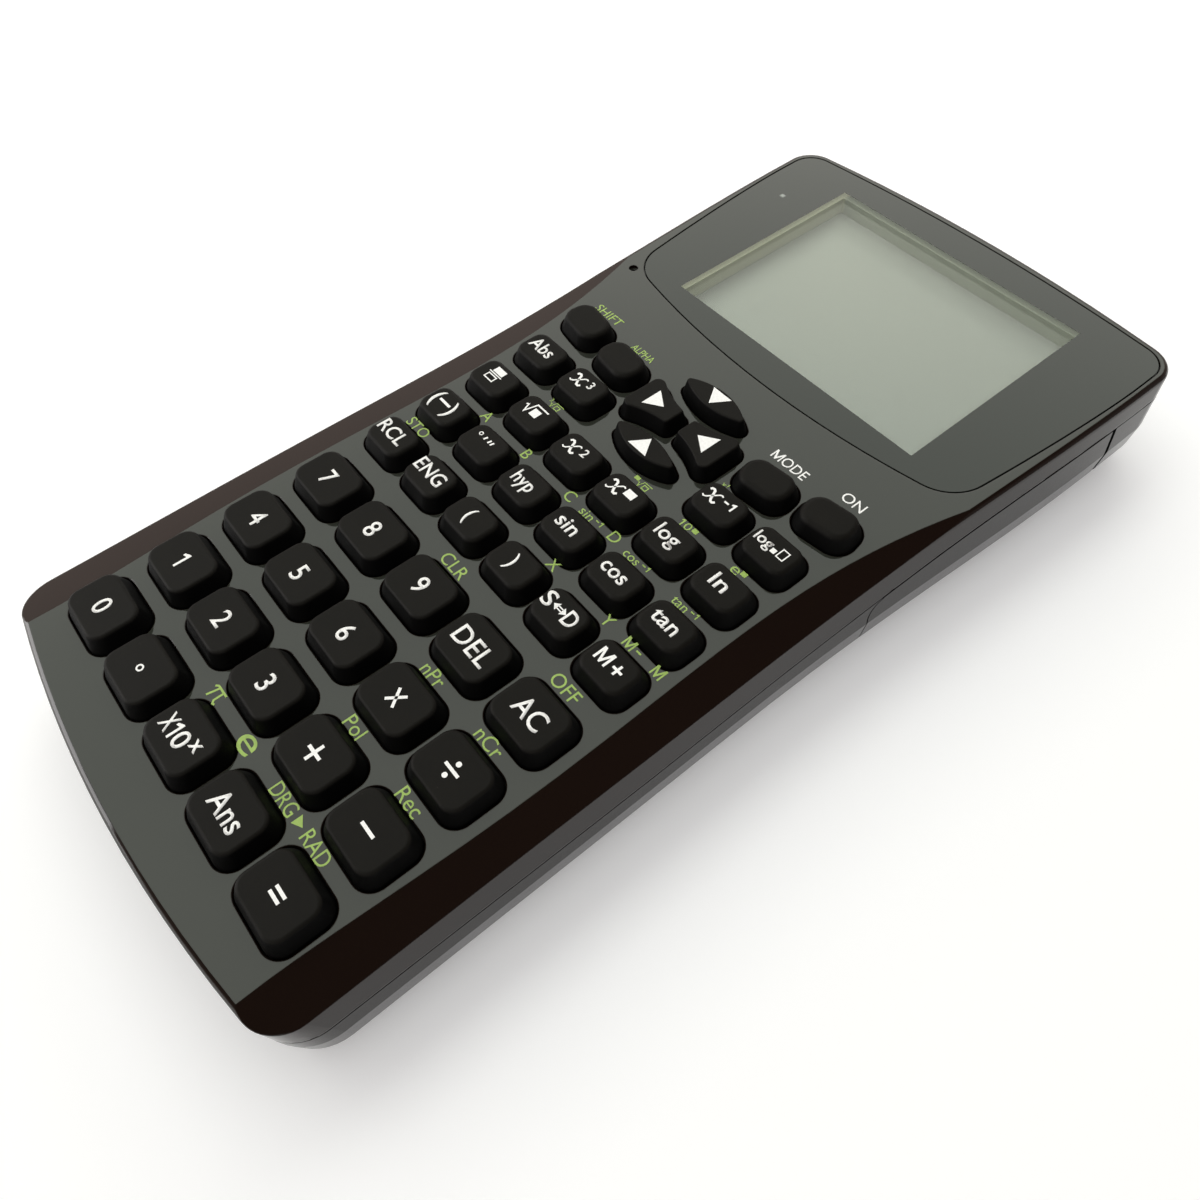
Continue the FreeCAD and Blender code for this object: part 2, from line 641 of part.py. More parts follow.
def rear_cover(outer):
    """Lower shell: tub, lip, battery bay, screw wells, board standoffs and feet."""
    rib_y = (COVER_Y[0] - COVER_RIB_Y, COVER_Y[1] + COVER_RIB_Y)
    deep = side_slab(-RIM_DEEP, False)
    thin_wall = envelope(WALL).common(deep)
    tub = outer.common(side_slab(-PARTING_GAP / 2, False))
    tub = tub.fuse(envelope(WALL + LIP_CLEAR).common(side_slab(LIP_RISE, False)))
    tub = tub.cut(envelope(WALL + LIP_CLEAR + LIP_THICK))
    for y in ((ALONG[0], rib_y[0]), (rib_y[1], ALONG[1])):
        tub = tub.cut(thin_wall.common(box(ACROSS, y, TALL)))
    zone = cover_zone(0.0, 0.0, -PARTING_GAP / 2 + 0.01)
    tub = tub.cut(zone.cut(envelope(COVER_WALL + COVER_SIDE_GAP)))
    bay_out = box(
        (-BAY_HALF_W - BAY_WALL, BAY_HALF_W + BAY_WALL), (BAY_Y[0] - BAY_WALL, BAY_Y[1] + BAY_WALL),
        (BACK_Z + COVER_WALL + COVER_SIDE_GAP + LOOSE, BAY_TOP_Z + BAY_WALL))
    bay_in = box((-BAY_HALF_W, BAY_HALF_W), BAY_Y, (TALL[0], BAY_TOP_Z))
    tub = tub.fuse(bay_out).cut(bay_in)
    for x, y in both_sides(SCREW_PLACES):
        boss = rod(SCREW_WELL_R + SCREW_BOSS_WALL, x, y, (BACK_Z, SCREW_SEAT_Z + SCREW_BOSS_FLOOR))
        neck = rod(POST_R, x, y, (SCREW_SEAT_Z, POST_FOOT_Z))
        tub = tub.fuse(boss.fuse(neck).common(outer))
    for x, y in both_sides(STANDOFF_PLACES):
        tub = tub.fuse(rod(STANDOFF_R, x, y, (BACK_Z + MERGE, BOARD_TOP_Z - BOARD_THICK)))
    for x, y in both_sides(FOOT_PLACES):
        tub = tub.fuse(rod(FOOT_R, x, y, (0, BACK_Z + MERGE)))
    for x, y in both_sides(SCREW_PLACES):
        tub = tub.cut(rod(SCREW_WELL_R, x, y, (-1, SCREW_SEAT_Z)))
        tub = tub.cut(rod(SCREW_CLEAR_R, x, y, (0, POST_FOOT_Z + 1)))
    return tub


def battery_cover(outer):
    """Wrap-round cover over the battery bay, reaching up both side walls to the joint line."""
    zone = cover_zone(COVER_LOW_GAP, COVER_HIGH_GAP, -PARTING_GAP / 2 - COVER_STEP)
    straight_up = prism(side_outline(COVER_WALL, COVER_STRAIGHT_Z), FACE_Z)
    shell = outer.cut(envelope(COVER_WALL).fuse(straight_up))
    return shell.common(zone)


# ---- Screen parts -------------------------------------------------------------------------------------
def screen_window():
    """Clear window, flush with the face."""
    return prism(lens_outline(0.0, FACE_Z - LENS_THICK), LENS_THICK)


def lcd_module():
    """Light frame, two glass panes, display board and ribbon."""
    spacer_top = FACE_Z - LENS_THICK - LOOSE
    frame_low = LCD_TOP_Z - 2 * LCD_PANE
    frame = centred_plate(LCD_FRAME_W, LCD_FRAME_H, VIEW_Y, (frame_low, LCD_TOP_Z + LCD_FRAME_LIP))
    collar = centred_plate(
        VIEW_W + 2 * SPACER_WALL, VIEW_H + 2 * SPACER_WALL, VIEW_Y, (LCD_TOP_Z, spacer_top))
    frame = fuse([frame, collar])
    frame = frame.cut(centred_plate(VIEW_W, VIEW_H, VIEW_Y, (0, FACE_Z)))
    frame = frame.cut(
        centred_plate(LCD_GLASS_W + 2 * LOOSE, LCD_GLASS_H + 2 * LOOSE, VIEW_Y, (0, LCD_TOP_Z)))
    panes = []
    for i in range(2):
        top = LCD_TOP_Z - LAYER_GAP - i * LCD_PANE
        panes.append(centred_plate(LCD_GLASS_W, LCD_GLASS_H, VIEW_Y, (top - LCD_PANE + LAYER_GAP, top)))
    board_top = frame_low - LAYER_GAP
    board = centred_plate(LCD_FRAME_W, LCD_FRAME_H, VIEW_Y, (board_top - LCD_BOARD_THICK, board_top))
    high_z = board_top - LCD_BOARD_THICK - LAYER_GAP
    low_z = BOARD_TOP_Z - BOARD_THICK - LOOSE
    path = [
        Vec(-RIBBON_HALF_W, VIEW_Y - LCD_FRAME_H / 2 + RIBBON_REACH, high_z),
        Vec(-RIBBON_HALF_W, VIEW_Y - LCD_FRAME_H / 2 - RIBBON_REACH, high_z),
        Vec(-RIBBON_HALF_W, BOARD_Y[1] + RIBBON_REACH / 2, low_z),
        Vec(-RIBBON_HALF_W, BOARD_Y[1] - RIBBON_REACH, low_z),
    ]
    back = [p - UP * RIBBON_THICK for p in reversed(path)]
    ribbon = Part.Face(Part.makePolygon(path + back + path[:1])).extrude(Vec(2 * RIBBON_HALF_W, 0, 0))
    return Part.makeCompound([frame, panes[0], panes[1], board, ribbon])


# ---- Electronics --------------------------------------------------------------------------------------
def keypad_mat(middles):
    """Rubber sheet with one raised boss under each key."""
    sheet = box((-MAT_HALF_W, MAT_HALF_W), MAT_Y, (MAT_TOP_Z - MAT_THICK, MAT_TOP_Z))
    bosses = [rod(MAT_BOSS_R, x, y, (MAT_TOP_Z - MERGE, MAT_BOSS_Z)) for x, y in middles]
    return fuse([sheet] + bosses)


def main_board():
    """Circuit board with the parts soldered to its underside."""
    low = BOARD_TOP_Z - BOARD_THICK
    board = box((-BOARD_HALF_W, BOARD_HALF_W), BOARD_Y, (low, BOARD_TOP_Z))
    parts = [board]
    for x, y, w, h, deep in BOARD_PARTS:
        parts.append(box((x, x + w), (y, y + h), (low - deep, low)))
    return Part.makeCompound(parts)


def battery_cells():
    """Four AAA cells side by side, alternate ends up."""
    cells = []
    z = CELL_FLOOR_Z + CELL_R
    along = Vec(0, 1, 0)
    for i in range(CELL_COUNT):
        x = (i - (CELL_COUNT - 1) / 2) * CELL_PITCH
        flip = i % 2 == 1
        base_y = CELL_LOW_Y + (NUB_LENGTH if flip else 0)
        nub_y = CELL_LOW_Y if flip else base_y + CELL_LENGTH - MERGE
        can = Part.makeCylinder(CELL_R, CELL_LENGTH, Vec(x, base_y, z), along)
        can = can.makeFillet(CELL_ROUND, [e for e in can.Edges if len(e.Vertexes) == 1])
        nub = Part.makeCylinder(NUB_R, NUB_LENGTH + MERGE, Vec(x, nub_y, z), along)
        cells.append(fuse([can, nub]))
    return Part.makeCompound(cells)


def battery_contacts():
    """Sheet contacts at both ends of the bay, with a coil spring for each negative end."""
    pieces = []
    cell_z = CELL_FLOOR_Z + CELL_R
    left = -(CELL_COUNT - 1) / 2 * CELL_PITCH
    low_y = BAY_Y[0] + LOOSE
    high_y = BAY_Y[1] - LOOSE - PLATE_THICK
    for y, groups in ((low_y, ((0, 1), (2, 3))), (high_y, ((0, 0), (1, 2), (3, 3)))):
        for first, last in groups:
            x = (left + first * CELL_PITCH - PLATE_HALF_W, left + last * CELL_PITCH + PLATE_HALF_W)
            pieces.append(box(x, (y, y + PLATE_THICK), PLATE_Z))
    for i in range(CELL_COUNT):
        x = left + i * CELL_PITCH
        flip = i % 2 == 1
        plate_y = high_y - SPRING_WIRE if flip else low_y + PLATE_THICK + SPRING_WIRE
        cell_end = CELL_LOW_Y + NUB_LENGTH + CELL_LENGTH if flip else CELL_LOW_Y
        room = abs(cell_end - plate_y) - SPRING_WIRE - LAYER_GAP
        helix = Part.makeHelix(room / SPRING_TURNS, room, SPRING_R)
        helix.rotate(Vec(0, 0, 0), Vec(1, 0, 0), 90 if flip else -90)
        helix.translate(Vec(x, plate_y, cell_z))
        start = helix.Edges[0].valueAt(helix.Edges[0].FirstParameter)
        tangent = helix.Edges[0].tangentAt(helix.Edges[0].FirstParameter)
        ring = Part.Wire(Part.makeCircle(SPRING_WIRE, start, tangent))
        pieces.append(Part.Wire(helix.Edges).makePipeShell([ring], True, True))
    return Part.makeCompound(pieces)


def case_screws():
    """Six pan-head screws with a cross recess."""
    screws = []
    long, wide, deep = SCREW_RECESS
    low = SCREW_SEAT_Z - SCREW_HEAD_H
    tip_z = SCREW_TIP_Z - SCREW_TIP_H
    for x, y in both_sides(SCREW_PLACES):
        head = rod(SCREW_HEAD_R, x, y, (low, SCREW_SEAT_Z))
        low_edge = min(head.Edges, key=lambda e: e.CenterOfMass.z)
        head = head.makeFillet(SCREW_HEAD_ROUND, [low_edge])
        shank = rod(SCREW_R, x, y, (SCREW_SEAT_Z - MERGE, tip_z))
        tip = Part.makeCone(SCREW_R, SCREW_TIP_R, SCREW_TIP_H, Vec(x, y, tip_z))
        screw = fuse([head, shank, tip])
        for w, h in ((long, wide), (wide, long)):
            screw = screw.cut(box((x - w / 2, x + w / 2), (y - h / 2, y + h / 2), (low - deep, low + deep)))
        screws.append(screw)
    return Part.makeCompound(screws)


def main():
    os.makedirs("parts", exist_ok=True)
    keys = all_keys()
    for name, (key, hole), middle in keys:
        save(name, key)
    outer = envelope(0.0)
    save("front_housing", front_housing(outer, [tools[1] for _, tools, _ in keys]))
    save("rear_cover", rear_cover(outer))
    save("battery_cover", battery_cover(outer))
    save("screen_window", screen_window())
    save("lcd_module", lcd_module())
    save("keypad_mat", keypad_mat([middle for _, _, middle in keys]))
    save("main_board", main_board())
    save("battery_cells", battery_cells())
    save("battery_contacts", battery_contacts())
    save("case_screws", case_screws())


main()
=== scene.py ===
import bmesh
import bpy
import math
from mathutils import Matrix, Vector


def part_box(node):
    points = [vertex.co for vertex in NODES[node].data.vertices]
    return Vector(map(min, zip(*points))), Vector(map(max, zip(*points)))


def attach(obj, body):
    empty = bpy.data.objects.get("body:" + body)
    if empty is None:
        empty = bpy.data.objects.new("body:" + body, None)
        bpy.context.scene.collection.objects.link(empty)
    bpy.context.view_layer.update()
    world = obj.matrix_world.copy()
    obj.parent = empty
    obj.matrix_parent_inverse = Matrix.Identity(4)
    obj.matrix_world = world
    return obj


# Graphing calculator lying on its back. Metres, +X right, +Y towards the screen end, +Z out of the face.
# The places and sizes of marks on it are in millimetres, and of lights, camera and floor in metres.

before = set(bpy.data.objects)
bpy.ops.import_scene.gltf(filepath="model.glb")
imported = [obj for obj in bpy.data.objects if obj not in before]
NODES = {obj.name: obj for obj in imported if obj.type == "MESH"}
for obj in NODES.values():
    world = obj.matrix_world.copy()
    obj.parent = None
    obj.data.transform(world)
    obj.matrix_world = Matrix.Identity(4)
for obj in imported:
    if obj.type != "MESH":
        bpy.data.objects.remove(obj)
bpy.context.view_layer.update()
MM = 0.001
FACE_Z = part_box("screen_window")[1][2]


# ---- Node helpers -------------------------------------------------------------------------------------
BUMP_DEPTH = 0.1 * MM


class Shader:
    """A material's node tree, with short calls to add and join nodes."""

    def __init__(self, name):
        self.material = bpy.data.materials.new(name)
        self.material.use_nodes = True
        self.tree = self.material.node_tree
        self.tree.nodes.clear()
        self.out = self.tree.nodes.new("ShaderNodeOutputMaterial")

    def join(self, value, socket):
        if isinstance(value, bpy.types.NodeSocket):
            self.tree.links.new(value, socket)
        elif value is not None:
            socket.default_value = value

    def add(self, kind, inputs=(), **settings):
        node = self.tree.nodes.new("ShaderNode" + kind)
        for key, value in settings.items():
            setattr(node, key, value)
        for key, value in dict(inputs).items():
            self.join(value, node.inputs[key])
        return node

    def math(self, operation, a, b=None, c=None):
        return self.add("Math", {0: a, 1: b, 2: c}, operation=operation).outputs[0]

    def position(self):
        """Place in the part, in millimetres."""
        place = self.add("TexCoord").outputs["Object"]
        return self.add("VectorMath", {0: place, "Scale": 1 / MM}, operation="SCALE").outputs[0]

    def tilt(self):
        """1 where the surface faces straight up, 0 where it is upright."""
        return self.split(self.add("TexCoord").outputs["Normal"])[2]

    def split(self, vector):
        node = self.add("SeparateXYZ", {0: vector})
        return node.outputs[0], node.outputs[1], node.outputs[2]

    def noise(self, vector, scale, detail=2.0, roughness=0.5):
        return self.add("TexNoise", {"Vector": vector, "Scale": scale, "Detail": detail,
                                     "Roughness": roughness}).outputs[0]

    def mix(self, fac, a, b):
        node = self.add("Mix", {0: fac}, data_type="RGBA")
        self.join(a, node.inputs[6])
        self.join(b, node.inputs[7])
        return node.outputs[2]

    def mix_value(self, fac, a, b):
        return self.add("Mix", {0: fac, 2: a, 3: b}).outputs[0]

    def map(self, value, low, high, to_low, to_high):
        return self.add("MapRange", {0: value, 1: low, 2: high, 3: to_low, 4: to_high}).outputs[0]

    def bump(self, height, strength, normal=None):
        inputs = {"Height": height, "Strength": strength, "Distance": BUMP_DEPTH, "Normal": normal}
        return self.add("Bump", inputs).outputs[0]

    def principled(self, **inputs):
        names = {key.replace("_", " "): value for key, value in inputs.items()}
        return self.add("BsdfPrincipled", names).outputs[0]

    def finish(self, surface):
        self.tree.links.new(surface, self.out.inputs[0])
        return self.material


def rgb(red, green, blue):
    """Colour from 0-255 display values."""
    def linear(v):
        v /= 255
        return v / 12.92 if v <= 0.04045 else ((v + 0.055) / 1.055) ** 2.4
    return (linear(red), linear(green), linear(blue), 1.0)


# ---- Materials ----------------------------------------------------------------------------------------
def inside_box(s, at, centre, half, soft):
    """1 inside an upright box given in millimetres, fading over soft, 0 outside. None leaves an axis free."""
    inside = None
    for value, middle, reach in zip(s.split(at), centre, half):
        if reach is not None:
            gap = s.math("ABSOLUTE", s.math("SUBTRACT", value, middle))
            part = s.map(gap, reach - soft, reach + soft, 1.0, 0.0)
            inside = part if inside is None else s.math("MULTIPLY", inside, part)
    return inside


EDGE_ROUND = 0.25
EDGE_SAMPLES = 6
FLAT_TILT = (0.985, 0.999)
WALL_TILT = (0.2, 0.5)
WALL_SPECULAR = 0.17
FACE_SPECULAR = 0.5
REAR_SPECULAR = 0.25
RUBBER_SPECULAR = 0.13
PLASTIC_IOR = 1.5


def housing_material():
    """Glossy dark plastic with painted reflection: charcoal on the face, brown-black where it turns down at
    the sides.
    """
    s = Shader("gloss_housing")
    at = s.position()
    tilt = s.tilt()
    painted_reflection_mask = s.map(tilt, *FLAT_TILT, 0.0, 1.0)
    cloud = s.noise(at, 0.03, 3.0)
    # Painted reflection: one black plastic, painted charcoal on the face and brown-black on the turned-down
    # sides.
    face = s.mix(cloud, rgb(43, 45, 39), rgb(48, 50, 44))
    side = s.mix(cloud, rgb(20, 11, 7), rgb(26, 16, 11))
    smudge = s.noise(at, 0.09, 6.0, 0.62)
    rough = s.map(smudge, 0.35, 0.75, 0.035, 0.085)
    peel = s.noise(at, 0.5, 2.0)
    eased = s.add("Bevel", {"Radius": EDGE_ROUND * MM}, samples=EDGE_SAMPLES).outputs[0]
    specular = s.map(tilt, *WALL_TILT, WALL_SPECULAR, FACE_SPECULAR)
    surface = s.principled(Base_Color=s.mix(painted_reflection_mask, side, face), Roughness=rough, IOR=PLASTIC_IOR,
                           Specular_IOR_Level=specular, Normal=s.bump(peel, 0.03, eased))
    return s.finish(surface)


SHADED_SLIT_CENTRE = (0.0, 73.25, 12.0)
SHADED_SLIT_HALF = (None, 0.5, 8.0)
MARK_SOFT = 0.02


def rear_material():
    """The rear cover's plastic: same black, slightly softer gloss, and painted shade making it near-black and
    matte in the slit beside the cover.
    """
    s = Shader("gloss_rear")
    at = s.position()
    cloud = s.noise(at, 0.04, 3.0)
    rough = s.map(s.noise(at, 0.12, 6.0, 0.6), 0.3, 0.75, 0.12, 0.22)
    grain = s.noise(at, 6.0, 2.0)
    tone = s.mix(cloud, rgb(27, 24, 23), rgb(34, 30, 29))
    # Painted shade: the slit beside the cover is painted near-black and matte.
    slit = inside_box(s, at, SHADED_SLIT_CENTRE, SHADED_SLIT_HALF, MARK_SOFT)
    surface = s.principled(Base_Color=s.mix(slit, tone, rgb(3, 3, 3)),
                           Roughness=s.mix_value(slit, rough, 0.9),
                           Specular_IOR_Level=REAR_SPECULAR, Normal=s.bump(grain, 0.05))
    return s.finish(surface)


SHADED_SIDE_TILT = (0.35, 0.8)
SPECK_RADIUS = (0.035, 0.06)
SPECK_SHARE = (0.93, 0.95)


def rubber_material():
    """Matte key rubber with a fine grain, a few specks of dust, and painted shade that makes the key sides
    near-black.
    """
    s = Shader("key_rubber")
    at = s.position()
    grain = s.noise(at, 9.0, 3.0, 0.7)
    cloud = s.noise(at, 0.25, 3.0)
    # Painted shade: the key sides are painted near-black, darker than the tops.
    on_top = s.map(s.tilt(), *SHADED_SIDE_TILT, 0.0, 1.0)
    top = s.mix(cloud, rgb(15, 14, 11), rgb(20, 18, 14))
    base = s.mix(on_top, rgb(5, 5, 5), top)
    cells = s.add("TexVoronoi", {"Vector": at, "Scale": 0.9}, feature="F1")
    near = s.map(cells.outputs["Distance"], *SPECK_RADIUS, 1.0, 0.0)
    chosen = s.map(s.split(cells.outputs["Color"])[0], *SPECK_SHARE, 0.0, 0.3)
    base = s.mix(s.math("MULTIPLY", near, chosen), base, rgb(96, 90, 82))
    surface = s.principled(Base_Color=base, Roughness=s.map(grain, 0.3, 0.7, 0.5, 0.66),
                           Specular_IOR_Level=RUBBER_SPECULAR, Normal=s.bump(grain, 0.12))
    return s.finish(surface)


def ink_material(name, colour, shade):
    """Printed legend, a little uneven."""
    s = Shader(name)
    wear = s.noise(s.position(), 2.2, 4.0, 0.6)
    tone = s.mix(s.map(wear, 0.35, 0.8, 0.0, 1.0), colour, shade)
    surface = s.principled(Base_Color=tone, Roughness=0.45, Normal=s.bump(wear, 0.05))
    return s.finish(surface)


LENS_DOT = (-36.7, 73.3, 0.0)
LENS_DOT_HALF = (0.45, 0.45, None)
VIEW_CENTRE = (0.0, 60.85, 0.0)
VIEW_HALF = (28.85, 22.85, None)
BELOW_HALF = (31.0, 25.0, None)
LENS_TOP = (21.0, 21.5)
PRINT_SOFT = 0.03
LENS_ROUGH = 0.02


def window_material():
    """Clear window with a mirror gloss, printed charcoal all round the display and with one pale dot."""
    s = Shader("window")
    at = s.position()
    clear_above = inside_box(s, at, VIEW_CENTRE, VIEW_HALF, PRINT_SOFT)
    clear_below = inside_box(s, at, VIEW_CENTRE, BELOW_HALF, PRINT_SOFT)
    on_top = s.map(s.split(at)[2], *LENS_TOP, 0.0, 1.0)
    clear = s.mix_value(on_top, clear_below, clear_above)
    smudge = s.noise(at, 0.06, 5.0, 0.6)
    dot = inside_box(s, at, LENS_DOT, LENS_DOT_HALF, 0.2)
    print_tone = s.mix(dot, s.mix(smudge, rgb(29, 34, 27), rgb(34, 38, 31)), rgb(150, 155, 150))
    border = s.principled(Base_Color=print_tone, Roughness=LENS_ROUGH, IOR=PLASTIC_IOR)
    glance = s.math("POWER", s.add("LayerWeight", {"Blend": 0.5}).outputs["Facing"], 5.0)
    pane = s.add("MixShader", {0: s.map(glance, 0.0, 1.0, 0.04, 1.0)})
    s.join(s.add("BsdfTransparent", {"Color": (0.96, 0.98, 0.95, 1.0)}).outputs[0], pane.inputs[1])
    s.join(s.add("BsdfGlossy", {"Roughness": LENS_ROUGH}).outputs[0], pane.inputs[2])
    both = s.add("MixShader", {0: clear})
    s.join(border, both.inputs[1])
    s.join(pane.outputs[0], both.inputs[2])
    return s.finish(both.outputs[0])


GLASS_CENTRE = (0.0, 60.85, 17.1)
GLASS_HALF = (28.9, 22.9, 0.25)
LIT_LEFT_WALL = (-29.0, -28.0)
BOARD_TOP = (15.62, 15.66)
COLLAR_TOP = (20.6, 20.7)
COLLAR_PAINTED_GLOW = 0.35
PAINTED_LIGHT_FROM = 20.0
PAINTED_LIGHT_TO = 110.0


def lcd_material():
    """Display module: grey-green glass, pale frame, green board under it, with painted light: the glass paler
    towards the upper left, the frame's left wall paler than its top wall, and the collar top shining.
    """
    s = Shader("lcd")
    at = s.position()
    x, y, z = s.split(at)
    cloud = s.noise(at, 0.05, 3.0)
    glass = s.mix(cloud, rgb(147, 148, 147), rgb(153, 154, 153))
    # Painted light: the glass is painted paler towards the upper left.
    pale = s.map(s.math("SUBTRACT", y, x), PAINTED_LIGHT_FROM, PAINTED_LIGHT_TO, 0.0, 1.0)
    glass = s.mix(pale, glass, rgb(164, 164, 160))
    # Painted light: the frame's left wall is painted paler than its top wall.
    lit_left_wall = s.map(x, *LIT_LEFT_WALL, 1.0, 0.0)
    frame_with_painted_light = s.mix(lit_left_wall, rgb(150, 155, 140), rgb(196, 196, 172))
    top = inside_box(s, at, GLASS_CENTRE, GLASS_HALF, MARK_SOFT)
    low = s.map(z, *BOARD_TOP, 1.0, 0.0)
    tone = s.mix(top, frame_with_painted_light, glass)
    tone = s.mix(low, tone, rgb(40, 74, 52))
    # Painted light: the collar top is made to shine by emission, though it is no lamp.
    painted_glow = s.map(z, *COLLAR_TOP, 0.0, COLLAR_PAINTED_GLOW)
    surface = s.principled(Base_Color=tone, Roughness=s.map(cloud, 0.3, 0.7, 0.3, 0.4),
                           Emission_Color=tone, Emission_Strength=painted_glow)
    return s.finish(surface)


FINE_GRAIN = 8
GRAIN_BUMP = 0.05


def plain_material(name, first, second, scale, rough, metallic=0.0):
    """Mottled material for an inside piece."""
    s = Shader(name)
    at = s.position()
    cloud = s.noise(at, scale, 4.0, 0.6)
    fine = s.noise(at, scale * FINE_GRAIN, 3.0)
    surface = s.principled(Base_Color=s.mix(cloud, first, second), Roughness=s.map(cloud, 0.3, 0.7, *rough),
                           Metallic=metallic, Normal=s.bump(fine, GRAIN_BUMP))
    return s.finish(surface)


def steel(name, first, second, scale, rough):
    return plain_material(name, first, second, scale, rough, metallic=1.0)


FLOOR_GLOW = 0.22


def floor_material():
    """Plain white studio sheet, lifted a little so that it stays pale in the shade."""
    s = Shader("floor")
    cloud = s.noise(s.position(), 0.004, 3.0)
    tone = s.mix(cloud, (0.88, 0.88, 0.88, 1.0), (0.90, 0.90, 0.90, 1.0))
    surface = s.principled(Base_Color=tone, Roughness=0.9, Specular_IOR_Level=0.1,
                           Emission_Color=(1.0, 1.0, 1.0, 1.0), Emission_Strength=FLOOR_GLOW)
    return s.finish(surface)


HOUSING = housing_material()
REAR = rear_material()
RUBBER = rubber_material()
WHITE_INK = ink_material("ink_white", rgb(255, 255, 252), rgb(240, 240, 236))
GREEN_INK = ink_material("ink_green", rgb(168, 198, 96), rgb(150, 182, 84))
SLOT_MATERIALS = {
    "front_housing": HOUSING,
    "rear_cover": REAR,
    "battery_cover": REAR,
    "screen_window": window_material(),
    "lcd_module": lcd_material(),
    "keypad_mat": plain_material("silicone", rgb(120, 122, 120), rgb(140, 142, 138), 0.2, (0.55, 0.7)),
    "main_board": plain_material("board", rgb(20, 72, 40), rgb(30, 90, 52), 0.3, (0.3, 0.45)),
    "battery_cells": steel("cell_steel", rgb(150, 150, 152), rgb(190, 190, 190), 0.5, (0.2, 0.35)),
    "battery_contacts": steel("contact_steel", rgb(170, 168, 160), rgb(200, 198, 190), 0.5, (0.2, 0.4)),
    "case_screws": steel("screw_steel", rgb(70, 70, 72), rgb(110, 110, 112), 0.8, (0.25, 0.4)),
}
for name, node in NODES.items():
    node.data.materials[0] = SLOT_MATERIALS.get(name, RUBBER)


# ---- Lettering ----------------------------------------------------------------------------------------
def glyph_mesh(words, weight):
    """Flat mesh of some words in the built-in font, with the baseline at y = 0."""
    curve = bpy.data.curves.new("words", "FONT")
    curve.body = words
    curve.offset = weight
    curve.resolution_u = 4
    holder = bpy.data.objects.new("words", curve)
    bpy.context.collection.objects.link(holder)
    mesh = bpy.data.meshes.new_from_object(holder.evaluated_get(bpy.context.evaluated_depsgraph_get()))
    bpy.data.objects.remove(holder)
    bpy.data.curves.remove(curve)
    return mesh


CAP = max(vertex.co.y for vertex in glyph_mesh("H", 0.0).vertices)
INK_RISE = 0.03 * MM
INK_SINK = 0.02 * MM
SHARPEST_TURN = 0.4


